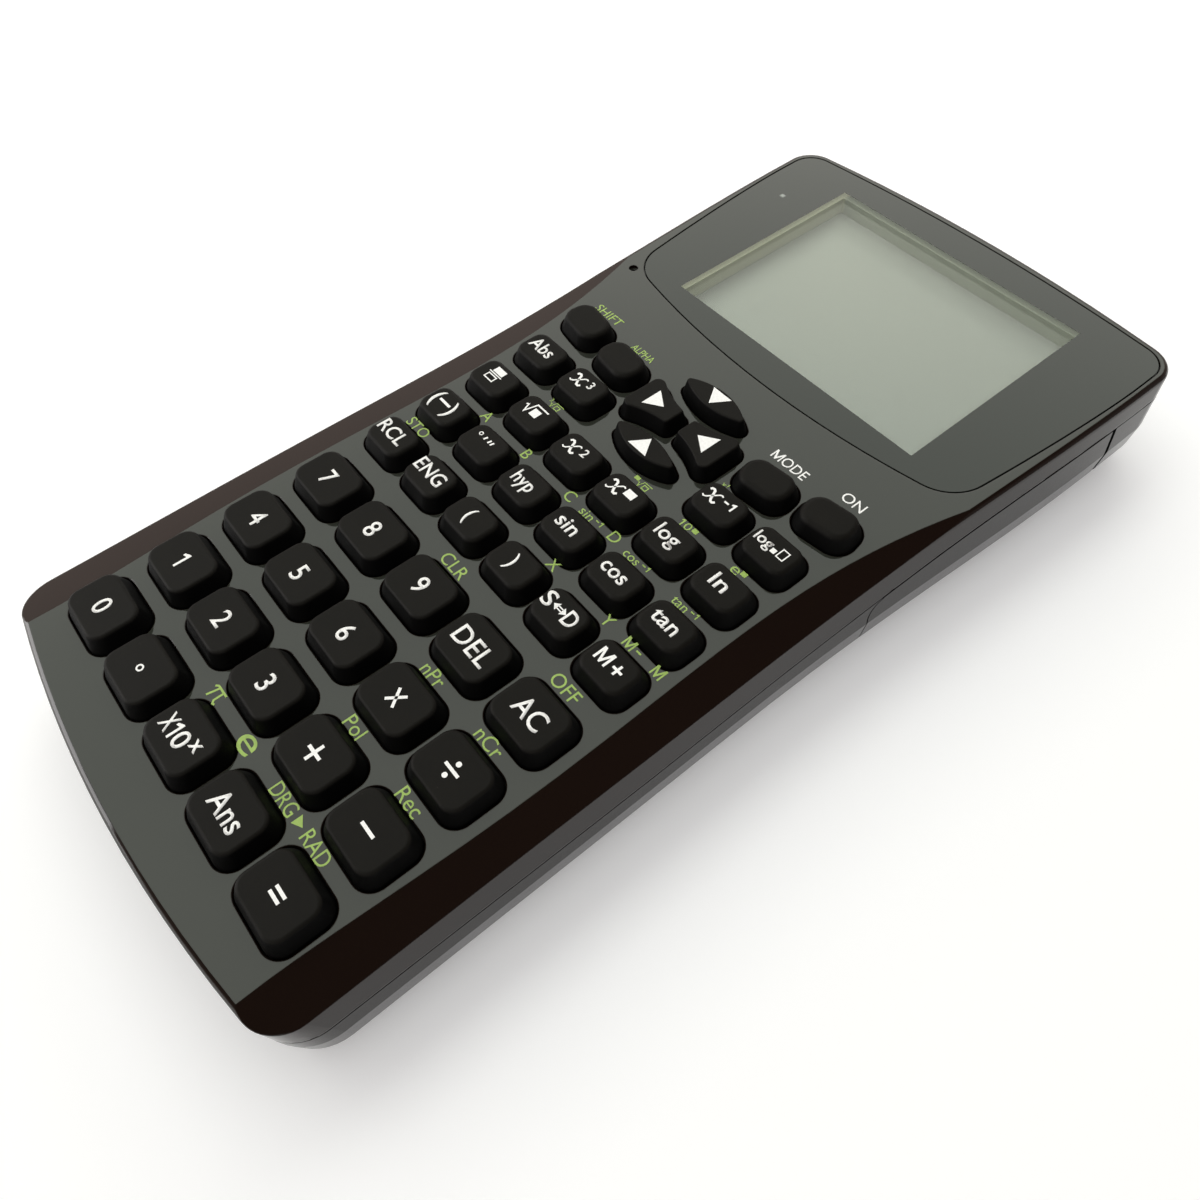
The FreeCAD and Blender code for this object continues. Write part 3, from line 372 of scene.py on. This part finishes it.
class Legend:
    """Flat shapes in millimetres about a middle, turned into one thin solid."""

    def __init__(self):
        self.mesh = bmesh.new()

    def words(self, text, x, y, cap, width=None, weight=0.012):
        """Text whose middle is at x and whose capitals are centred on y."""
        mesh = glyph_mesh(text, weight)
        scale = cap / CAP
        low = min(v.co.x for v in mesh.vertices)
        high = max(v.co.x for v in mesh.vertices)
        wide = width / (high - low) if width else scale
        mesh.transform(Matrix.Translation((x - (low + high) / 2 * wide, y - cap / 2, 0))
                       @ Matrix.Diagonal((wide, scale, 1, 1)))
        self.mesh.from_mesh(mesh)
        bpy.data.meshes.remove(mesh)
        return self

    def shape(self, points):
        """Filled polygon."""
        self.mesh.faces.new([self.mesh.verts.new((px, py, 0)) for px, py in points])
        return self

    def letter_m(self, x, y, cap, width, pen):
        """Capital M drawn as one outline."""
        low, high, half = -cap / 2, cap / 2, width / 2
        right = [(pen * 0.3, low), (half - pen, high - cap * 0.3), (half - pen, low), (half, low),
                 (half, high), (half - pen * 1.3, high)]
        points = right + [(0, low + cap * 0.3)] + [(-px, py) for px, py in reversed(right)]
        return self.shape([(x + px, y + py) for px, py in points])

    def figure_one(self, x, y, cap, pen):
        """Figure 1 with a flag, drawn as one outline; x is the left side of the stem."""
        low, high, flag = y - cap / 2, y + cap / 2, 0.24 * cap
        return self.shape([(x, low), (x + pen, low), (x + pen, high), (x + pen * 0.3, high),
                           (x - flag, high - 0.7 * flag), (x - flag, high - 0.7 * flag - pen),
                           (x, high - 0.4 * flag - pen)])

    def bar(self, x, y, width, height):
        return self.shape([(x - width / 2, y - height / 2), (x + width / 2, y - height / 2),
                           (x + width / 2, y + height / 2), (x - width / 2, y + height / 2)])

    def stroke(self, points, pen):
        """Line of even width through points, as one quad strip."""
        path = [Vector(p) for p in points]
        left, right = [], []
        for i, p in enumerate(path):
            ahead = path[min(i + 1, len(path) - 1)] - p
            behind = p - path[max(i - 1, 0)]
            a = ahead.normalized() if ahead.length else behind.normalized()
            b = behind.normalized() if behind.length else a
            along = (a + b).normalized()
            side = Vector((-along.y, along.x)) * (pen / 2 / max(along.dot(a), SHARPEST_TURN))
            left.append(p + side)
            right.append(p - side)
        for i in range(len(path) - 1):
            self.shape([left[i], right[i], right[i + 1], left[i + 1]])
        return self

    def frame(self, x, y, width, height, pen):
        """Hollow rectangle."""
        w, h = width / 2, height / 2
        corners = [(-w, -h), (w, -h), (w, h), (-w, h)]
        for i in range(4):
            (ax, ay), (bx, by) = corners[i], corners[(i + 1) % 4]
            inner = [((1 - pen / w) * px, (1 - pen / h) * py) for px, py in ((bx, by), (ax, ay))]
            self.shape([(x + px, y + py) for px, py in [(ax, ay), (bx, by)] + inner])
        return self

    def ring(self, x, y, radius, pen, steps=24):
        turn = 2 * math.pi / steps
        for i in range(steps):
            quad = ((radius, i), (radius, i + 1), (radius - pen, i + 1), (radius - pen, i))
            self.shape([(x + r * math.cos(a * turn), y + r * math.sin(a * turn)) for r, a in quad])
        return self

    def disc(self, x, y, radius, steps=20):
        angles = [2 * math.pi * i / steps for i in range(steps)]
        return self.shape([(x + radius * math.cos(a), y + radius * math.sin(a)) for a in angles])

    def solid(self, name, ink, middle, top_z, body):
        """Make the object: a thin solid just proud of a surface, whose place is given in metres."""
        bm = self.mesh
        bmesh.ops.remove_doubles(bm, verts=bm.verts, dist=0.001)
        bmesh.ops.recalc_face_normals(bm, faces=bm.faces)
        for face in bm.faces:
            if face.normal.z < 0:
                face.normal_flip()
        grown = bmesh.ops.extrude_face_region(bm, geom=bm.faces[:])
        top = [g for g in grown["geom"] if isinstance(g, bmesh.types.BMVert)]
        low = set(bm.verts) - set(top)
        for vert in top:
            vert.co = (middle[0] + vert.co.x * MM, middle[1] + vert.co.y * MM, top_z + INK_RISE)
        for vert in low:
            vert.co = (middle[0] + vert.co.x * MM, middle[1] + vert.co.y * MM, top_z - INK_SINK)
        bmesh.ops.recalc_face_normals(bm, faces=bm.faces)
        mesh = bpy.data.meshes.new(name)
        bm.to_mesh(mesh)
        bm.free()
        mesh.materials.append(ink)
        piece = bpy.data.objects.new(name, mesh)
        bpy.context.collection.objects.link(piece)
        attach(piece, body)
        return piece


SCRIPT_WIDE = 1.15
SCRIPT_THIN = 0.62


def script_x(legend, x, y, size=2.3, pen=0.42):
    """The slanted script x of algebra: a thick stroke with curled ends, crossed by a thinner one."""
    thick = [(-0.50, 0.30), (-0.44, 0.44), (-0.30, 0.48), (-0.17, 0.38), (-0.06, 0.05), (0.06, -0.25),
             (0.18, -0.46), (0.34, -0.48), (0.46, -0.32)]
    thin = [(0.52, 0.40), (0.40, 0.48), (0.26, 0.40), (0.00, 0.02), (-0.26, -0.38), (-0.42, -0.48),
            (-0.55, -0.38)]
    for points, width in ((thick, pen), (thin, pen * SCRIPT_THIN)):
        legend.stroke([(x + size * px * SCRIPT_WIDE, y + size * py) for px, py in points], width)
    return legend


def arrow(legend, x, y, angle, length=3.3, half=2.2):
    """Filled triangle pointing along angle."""
    c = math.cos(math.radians(angle))
    s = math.sin(math.radians(angle))
    tri = [(length * 0.5, 0), (-length * 0.5, half), (-length * 0.5, -half)]
    return legend.shape([(x + c * px - s * py, y + s * px + c * py) for px, py in tri])


def key_middle(name):
    """Middle of a key in plan, and the height of its top, in metres."""
    low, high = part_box(name)
    return ((low[0] + high[0]) / 2, (low[1] + high[1]) / 2), high[2]


NUMBER_CAP = 3.05
NUMBER_WEIGHT = 0.009
EXPONENT_CAP = 2.8
EXPONENT_WEIGHT = 0.01
FUNCTION_CAP = 2.6
FUNCTION_SHIFT = (-0.5, 0.4)


def key_legend(name, draw, shift=(0.0, 0.0)):
    """Legend on a key cap, riding on that key."""
    (x, y), top_z = key_middle(name)
    legend = Legend()
    draw(legend)
    middle = (x + shift[0] * MM, y + shift[1] * MM)
    legend.solid("legend_" + name.removeprefix("key_"), WHITE_INK, middle, top_z, name)


def key_text(name, text, cap, width, weight, shift=(0.0, 0.0)):
    """Words in the middle of a key cap."""
    key_legend(name, lambda legend: legend.words(text, 0.0, 0.0, cap, width, weight), shift)


for digit in "023456789":
    key_text("key_digit_" + digit, digit, NUMBER_CAP, None, NUMBER_WEIGHT)
COMMAND_TEXTS = (
    ("key_delete", "DEL", 7.5),
    ("key_all_clear", "AC", 5.6),
    ("key_answer", "Ans", 6.4),
)
for name, text, width in COMMAND_TEXTS:
    key_text(name, text, NUMBER_CAP, width, NUMBER_WEIGHT)
key_legend("key_digit_1", lambda legend: legend.figure_one(-0.1, 0, NUMBER_CAP, 0.42))


def draw_exponent(legend):
    legend.words("X", -3.1, -0.3, EXPONENT_CAP, 2.0, EXPONENT_WEIGHT)
    legend.figure_one(-1.4, -0.3, EXPONENT_CAP, 0.4)
    legend.words("0", 0.5, -0.3, EXPONENT_CAP, 2.1, EXPONENT_WEIGHT)
    legend.words("x", 2.75, 1.25, 2.3)


def draw_equals(legend):
    legend.bar(0, 0.5, 2.3, 0.5).bar(0, -0.5, 2.3, 0.5)


def draw_plus(legend):
    legend.bar(0, 0, 2.9, 0.52).bar(0, 0.89, 0.52, 1.26).bar(0, -0.89, 0.52, 1.26)


def draw_times(legend):
    legend.stroke([(-0.95, 1.3), (0.95, -1.3)], 0.46).stroke([(-0.95, -1.3), (0.95, 1.3)], 0.46)


def draw_divide(legend):
    legend.bar(0, 0, 3.0, 0.5).disc(0, 1.15, 0.42).disc(0, -1.15, 0.42)


NUMBER_DRAWINGS = {
    "key_point": lambda legend: legend.ring(0, 0, 0.62, 0.27),
    "key_exponent": draw_exponent,
    "key_equals": draw_equals,
    "key_plus": draw_plus,
    "key_minus": lambda legend: legend.bar(0, 0, 2.9, 0.52),
    "key_times": draw_times,
    "key_divide": draw_divide,
}
for name, draw in NUMBER_DRAWINGS.items():
    key_legend(name, draw)

FUNCTION_WEIGHT = 0.012
FUNCTION_TEXTS = (
    ("key_recall", "RCL", 6.5),
    ("key_engineering", "ENG", 6.9),
    ("key_open_bracket", "(", None),
    ("key_close_bracket", ")", None),
    ("key_hyperbolic", "hyp", 4.6),
    ("key_sine", "sin", 4.3),
    ("key_cosine", "cos", 5.0),
    ("key_tangent", "tan", 4.9),
    ("key_log", "log", 4.6),
    ("key_natural_log", "ln", 3.1),
    ("key_absolute", "Abs", 5.6),
)
for name, text, width in FUNCTION_TEXTS:
    key_text(name, text, FUNCTION_CAP, width, FUNCTION_WEIGHT, FUNCTION_SHIFT)


def draw_decimal_switch(legend):
    legend.words("S", -2.55, 0, 2.7, 2.0, 0.014).words("D", 2.5, 0, 2.7, 2.2, 0.014)
    legend.bar(0, 0.24, 1.3, 0.2).bar(0, -0.24, 1.3, 0.2)
    arrow(legend, 0.95, 0, 0, 0.9, 0.75)
    arrow(legend, -0.95, 0, 180, 0.9, 0.75)


def draw_negative(legend):
    for bracket, x in (("(", -2.1), (")", 2.1)):
        legend.words(bracket, x, 0, 3.1, weight=0.016)
    legend.bar(0, 0, 2.9, 0.5)


def draw_degrees(legend):
    legend.ring(-1.6, 0.7, 0.42, 0.18)
    for x in (-0.1, 1.0, 1.7):
        legend.stroke([(x, 1.0), (x - 0.2, 0.2)], 0.35)


def draw_fraction(legend):
    legend.bar(0.1, 1.1, 2.5, 1.35).bar(0, 0.1, 3.3, 0.24).frame(-0.1, -0.95, 2.4, 1.4, 0.24)


def draw_root(legend):
    legend.stroke([(-2.3, 0.1), (-1.9, 0.3), (-1.3, -1.3), (-0.6, 1.35), (2.3, 1.35)], 0.3)
    legend.bar(0.6, -0.25, 1.7, 1.7)


def draw_memory_plus(legend):
    legend.letter_m(-1.2, 0, 2.5, 2.5, 0.42).bar(1.75, -0.1, 1.9, 0.42).bar(1.75, 0.48, 0.42, 0.74)
    legend.bar(1.75, -0.68, 0.42, 0.74)


def draw_reciprocal(legend):
    script_x(legend, -1.4, -0.1).bar(1.1, 0.5, 0.9, 0.34).figure_one(2.4, 0.5, 1.7, 0.34)


def draw_log_base(legend):
    legend.words("log", -1.5, 0.1, 2.0, 3.4).bar(0.85, -0.5, 0.9, 0.9).frame(2.4, 0, 1.5, 2.0, 0.2)


FUNCTION_DRAWINGS = {
    "key_memory_plus": draw_memory_plus,
    "key_decimal_switch": draw_decimal_switch,
    "key_negative": draw_negative,
    "key_degrees": draw_degrees,
    "key_fraction": draw_fraction,
    "key_square_root": draw_root,
    "key_square": lambda legend: script_x(legend, -0.9, -0.1).words("2", 1.7, 0.5, 1.7),
    "key_cube": lambda legend: script_x(legend, -0.9, -0.1).words("3", 1.7, 0.5, 1.7),
    "key_power": lambda legend: script_x(legend, -1.2, -0.1).bar(1.6, 0.6, 2.0, 1.5),
    "key_reciprocal": draw_reciprocal,
    "key_log_base": draw_log_base,
}
for name, draw in FUNCTION_DRAWINGS.items():
    key_legend(name, draw, FUNCTION_SHIFT)

PAD_ARROWS = {"key_pad_upper": -90, "key_pad_lower": 90, "key_pad_left": 0, "key_pad_right": 180}
for name, angle in PAD_ARROWS.items():
    key_legend(name, lambda legend, angle=angle: arrow(legend, 0, 0, angle))


# Words on the face: the key below them, their distance right of and above its middle, the height of their
# capitals, and their width where it isn't the font's.
GREEN_WORDS = (
    ("e", "key_exponent", 5.12, 6.97, 4.06, 3.28),
    ("DRG", "key_answer", 1.74, 6.49, 2.22, 5.31),
    ("RAD", "key_answer", 10.52, 6.49, 2.22, 5.5),
    ("Pol", "key_plus", -1.45, 6.4, 2.22, None),
    ("Rec", "key_minus", -1.06, 6.4, 2.22, None),
    ("nPr", "key_times", -1.35, 6.5, 2.22, None),
    ("nCr", "key_divide", -1.35, 6.59, 2.22, None),
    ("CLR", "key_digit_9", -1.64, 6.69, 2.22, None),
    ("OFF", "key_all_clear", -1.35, 6.89, 2.22, None),
    ("STO", "key_recall", -1.31, 5.36, 2.03, None),
    ("X", "key_close_bracket", 2.37, 5.65, 2.12, None),
    ("Y", "key_decimal_switch", 4.11, 5.65, 2.12, None),
    ("A", "key_negative", 4.39, 5.48, 2.12, None),
    ("B", "key_degrees", 4.39, 5.48, 2.12, None),
    ("C", "key_hyperbolic", 4.78, 5.48, 2.12, None),
    ("D", "key_sine", 4.39, 5.67, 2.12, None),
    ("sin", "key_sine", -2.17, 5.29, 1.64, 2.8),
    ("cos", "key_cosine", -2.55, 5.29, 1.64, 3.19),
    ("tan", "key_tangent", -2.84, 5.29, 1.64, 2.99),
    ("0", "key_log", -1.4, 5.31, 1.45, 1.26),
    ("e", "key_natural_log", -2.07, 5.5, 2.12, 1.54),
    ("3", "key_square_root", -3.05, 5.89, 0.87, None),
    ("x!", "key_reciprocal", -3.91, 5.13, 1.16, None),
    ("SHIFT", "key_shift", -0.98, 5.86, 1.83, 6.86),
    ("ALPHA", "key_alpha", -0.62, 5.68, 1.54, 5.6),
)
WHITE_WORDS = (
    ("ODE", "key_mode", -0.06, 6.84, 2.03, 5.21),
    ("ON", "key_on", -0.76, 7.02, 2.03, 4.34),
)
# Marks drawn as shapes, placed the same way. The last number of a power box is its height.
INVERSE_MARKS = (("key_sine", 0.15), ("key_cosine", -0.04), ("key_tangent", -0.43))
ROOT_SIGNS = (("key_square_root", -1.21), ("key_power", -0.63))
POWER_BOXES = (
    ("key_log", 0.05, 5.55, 0.87),
    ("key_natural_log", -0.62, 5.69, 0.87),
    ("key_power", -2.75, 5.79, 0.77),
)
FINE_PEN = 0.16
PI_PEN = 0.33


def above(key, across, rise):
    """Place on the face in millimetres, that far right of and above the middle of a key."""
    (x, y), _ = key_middle(key)
    return x / MM + across, y / MM + rise


def pi_sign(legend, x, y):
    for points in (((-1.4, 0.68), (-1.01, 1.06), (1.4, 1.06)),
                   ((-0.53, 0.92), (-0.92, -1.06)),
                   ((0.63, 0.92), (0.63, -0.58), (1.01, -1.01), (1.4, -0.87))):
        legend.stroke([(x + px, y + py) for px, py in points], PI_PEN)


def inverse_mark(legend, x, y):
    """Raised minus one."""
    legend.bar(x, y, 0.68, 0.23).figure_one(x + 0.92, y, 1.06, 0.21)


def root_sign(legend, x, y):
    """Root over a hollow box."""
    hook = ((-1.45, 0), (-1.21, 0.14), (-0.92, -0.68), (-0.53, 0.77), (1.35, 0.77))
    legend.stroke([(x + px, y + py) for px, py in hook], FINE_PEN)
    legend.frame(x + 0.39, y - 0.1, 1.16, 1.06, 0.19)


def memory_marks(green):
    """M minus, and the letter M, above the memory key."""
    for across in (-2.36, 4.01):
        green.letter_m(*above("key_memory_plus", across, 5.65), 2.12, 1.93, 0.27)
    green.bar(*above("key_memory_plus", -0.33, 5.56), 0.97, 0.29)


def face_legends():
    """Second functions and key names printed on the face."""
    green = Legend()
    white = Legend()
    for legend, rows in ((green, GREEN_WORDS), (white, WHITE_WORDS)):
        for text, key, across, rise, cap, width in rows:
            legend.words(text, *above(key, across, rise), cap, width, weight=0.0)
    for key, across in INVERSE_MARKS:
        inverse_mark(green, *above(key, across, 5.58))
    for key, across in ROOT_SIGNS:
        root_sign(green, *above(key, across, 5.31))
    for key, across, rise, height in POWER_BOXES:
        green.bar(*above(key, across, rise), 1.06, height)
    pi_sign(green, *above("key_exponent", -4.97, 6.39))
    arrow(green, *above("key_answer", 6.08, 6.49), 0, 1.64, 0.92)
    green.figure_one(*above("key_log", -2.75, 5.31), 1.45, 0.25)
    memory_marks(green)
    white.letter_m(*above("key_mode", -3.92, 6.84), 2.03, 1.93, 0.25)
    green.solid("legends_second_functions", GREEN_INK, (0, 0), FACE_Z, "body")
    white.solid("legends_key_names", WHITE_INK, (0, 0), FACE_Z, "body")


face_legends()


# ---- Camera, light and floor --------------------------------------------------------------------------
def stand(name, data, location, axes):
    """Object at a place, with its local axes given as columns."""
    obj = bpy.data.objects.new(name, data)
    bpy.context.collection.objects.link(obj)
    matrix = Matrix([[axes[c][r] for c in range(3)] for r in range(3)]).to_4x4()
    matrix.translation = location
    obj.matrix_world = matrix
    return obj


CAMERA_PLACE = (0.082356, -0.065933, 0.141200)
CAMERA_RIGHT = (0.62517, 0.77970, -0.03491)
CAMERA_UP = (-0.63797, 0.53627, 0.55263)
CAMERA_BACK = (0.44961, -0.32322, 0.83270)


def photo_camera():
    """Camera above the lower right side, looking down along the keys."""
    camera = bpy.data.cameras.new("camera")
    camera.lens = 28.315
    camera.sensor_width = 36.0
    camera.clip_start = 0.005
    return stand("camera", camera, CAMERA_PLACE, (CAMERA_RIGHT, CAMERA_UP, CAMERA_BACK))


bpy.context.scene.camera = photo_camera()


def softbox(name, centre, aim, size, strength, colour=(1, 1, 1)):
    """Rectangular soft light at centre, facing aim."""
    light = bpy.data.lights.new(name, "AREA")
    light.shape = "RECTANGLE"
    light.size, light.size_y = size
    light.color = colour
    light.energy = strength * size[0] * size[1] * math.pi
    back = (Vector(centre) - Vector(aim)).normalized()
    side = Vector((0, 1, 0)).cross(back).normalized()
    return stand(name, light, centre, (side, back.cross(side), back))


ORIGIN = (0.0, 0.0, 0.0)


def studio_lights():
    """A wide sheet on the left that the face mirrors, a small key light, a low glint and an unseen fill."""
    softbox("softbox_overhead_left", (-0.42, 0.30, 0.52), (-0.42, 0.30, 0.0), (0.66, 1.2), 1.45,
            (0.96, 1.0, 0.93))
    softbox("softbox_behind_camera", (0.45, -0.55, 0.75), ORIGIN, (0.25, 0.25), 4.0)
    glint = softbox("softbox_low_left", (-0.65, -0.62, 0.42), (0.0, 0.0, 0.02), (0.5, 0.6), 5.0)
    glint.visible_diffuse = False
    fill = softbox("fill_overhead", (0.0, 0.0, 1.2), ORIGIN, (1.6, 1.6), 1.2)
    fill.visible_glossy = False


WORLD_LOW = (1.0, 0.97, 0.95, 1.0)
WORLD_MIDDLE = (0.76, 0.64, 0.58, 1.0)
WORLD_HIGH = (0.05, 0.05, 0.05, 1.0)
WORLD_SEEN = (0.93, 0.93, 0.93, 1.0)
MIDDLE_HEIGHT = 0.35
HIGH_HEIGHT = 0.75
WORLD_LEFT_RIGHT = (-0.5, 0.6)
WORLD_RIGHT = 0.24


def studio_world():
    """Room light for reflections: bright low down on the left, dim on the right and overhead.

    The camera sees a plain pale room instead.
    """
    world = bpy.data.worlds.new("studio")
    bpy.context.scene.world = world
    world.use_nodes = True
    nodes, links = world.node_tree.nodes, world.node_tree.links

    def join(kind, sources, **settings):
        node = nodes.new("ShaderNode" + kind)
        for key, value in settings.items():
            setattr(node, key, value)
        for index, source in sources.items():
            if isinstance(source, bpy.types.NodeSocket):
                links.new(source, node.inputs[index])
            else:
                node.inputs[index].default_value = source
        return node

    split = join("SeparateXYZ", {0: join("TexCoord", {}).outputs["Generated"]})
    height = join("ValToRGB", {0: split.outputs[2]})
    elements = height.color_ramp.elements
    for element, (place, colour) in zip(elements, ((0.0, WORLD_LOW), (HIGH_HEIGHT, WORLD_HIGH))):
        element.position = place
        element.color = colour
    elements.new(MIDDLE_HEIGHT).color = WORLD_MIDDLE
    left, right = WORLD_LEFT_RIGHT
    aside = join("MapRange", {0: split.outputs[0], 1: left, 2: right, 3: 1.0, 4: WORLD_RIGHT})
    lit = join("Background", {0: height.outputs[0], 1: aside.outputs[0]})
    seen = join("Background", {0: WORLD_SEEN, 1: 1.0})
    chosen = join("MixShader", {0: join("LightPath", {}).outputs["Is Camera Ray"], 1: lit.outputs[0],
                                2: seen.outputs[0]})
    links.new(chosen.outputs[0], nodes["World Output"].inputs[0])


FLOOR_REACH = 3.0


def studio_floor():
    mesh = bpy.data.meshes.new("floor")
    corners = [(-FLOOR_REACH, -FLOOR_REACH, 0), (FLOOR_REACH, -FLOOR_REACH, 0),
               (FLOOR_REACH, FLOOR_REACH, 0), (-FLOOR_REACH, FLOOR_REACH, 0)]
    mesh.from_pydata(corners, [], [(0, 1, 2, 3)])
    mesh.materials.append(floor_material())
    floor = bpy.data.objects.new("floor", mesh)
    bpy.context.collection.objects.link(floor)


studio_lights()
studio_world()
studio_floor()
bpy.context.scene.view_settings.view_transform = "Standard"
